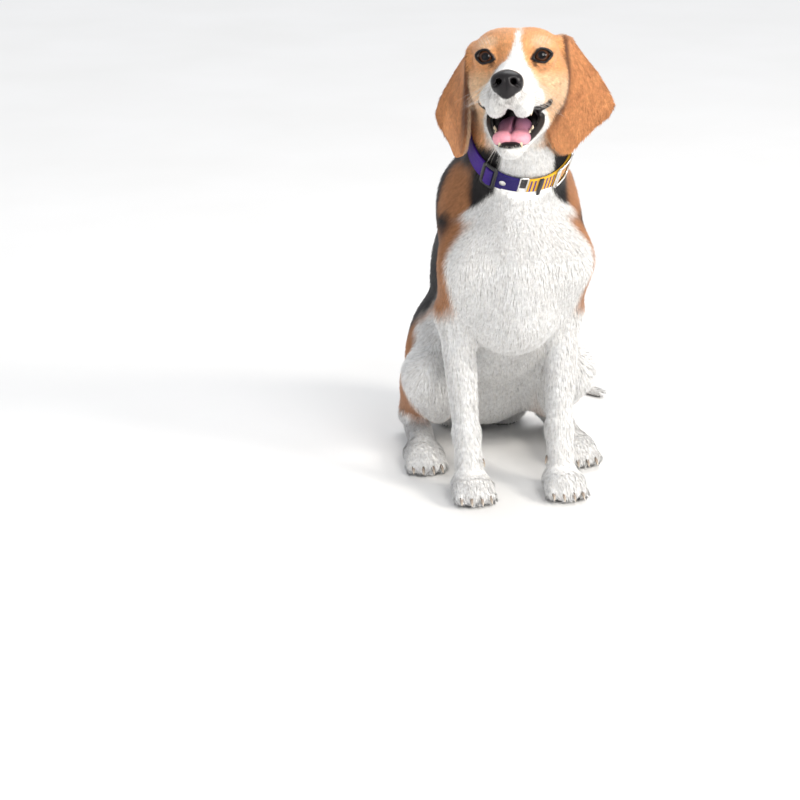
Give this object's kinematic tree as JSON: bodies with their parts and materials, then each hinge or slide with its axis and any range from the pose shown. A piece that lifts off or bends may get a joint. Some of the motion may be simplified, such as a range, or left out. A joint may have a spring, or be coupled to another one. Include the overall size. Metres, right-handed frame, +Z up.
{
  "type": "sitting beagle model",
  "caption": "Life-size still model of a sitting beagle, head raised and mouth open, with hanging ears, a curved tail on the floor and a webbing collar.",
  "frame": {"origin": "middle of the bounding box in X and Y, at the floor", "axes": "+Z up, -Y the way the chest faces, +X the dog's left side"},
  "size_m": [0.2772, 0.4788, 0.5062],
  "materials": {
    "coat": "short dense coat, tan, white and black",
    "nose_leather": "moist, finely pebbled",
    "tongue": "moist, fine-grained",
    "eye": "wet and clear over a brown iris",
    "claw": "satin horn",
    "blue_webbing": "woven webbing",
    "striped_webbing": "woven webbing with narrow cross stripes",
    "black_plastic": "moulded, satin",
    "steel": "polished"
  },
  "bodies": {
    "root": {"trunk": "coat", "neck": "coat", "head": "coat", "jaw": "coat", "nose": "nose_leather", "tongue": "tongue", "tail": "coat", "eye_left": "eye", "eye_right": "eye", "ear_left": "coat", "ear_right": "coat", "foreleg_left": "coat", "foreleg_right": "coat", "hindleg_left": "coat", "hindleg_right": "coat", "collar_band_blue": "blue_webbing", "collar_band_striped": "striped_webbing", "collar_link": "steel", "collar_slide_left": "black_plastic", "collar_slide_right": "black_plastic", "collar_buckle": "steel", "collar_rivet": "steel", "claw_fore_left_1": "claw", "claw_fore_left_2": "claw", "claw_fore_left_3": "claw", "claw_fore_left_4": "claw", "claw_fore_left_5": "claw", "claw_fore_right_1": "claw", "claw_fore_right_2": "claw", "claw_fore_right_3": "claw", "claw_fore_right_4": "claw", "claw_fore_right_5": "claw", "claw_hind_left_1": "claw", "claw_hind_left_2": "claw", "claw_hind_left_3": "claw", "claw_hind_left_4": "claw", "claw_hind_right_1": "claw", "claw_hind_right_2": "claw", "claw_hind_right_3": "claw", "claw_hind_right_4": "claw"}
  },
  "joints": []
}
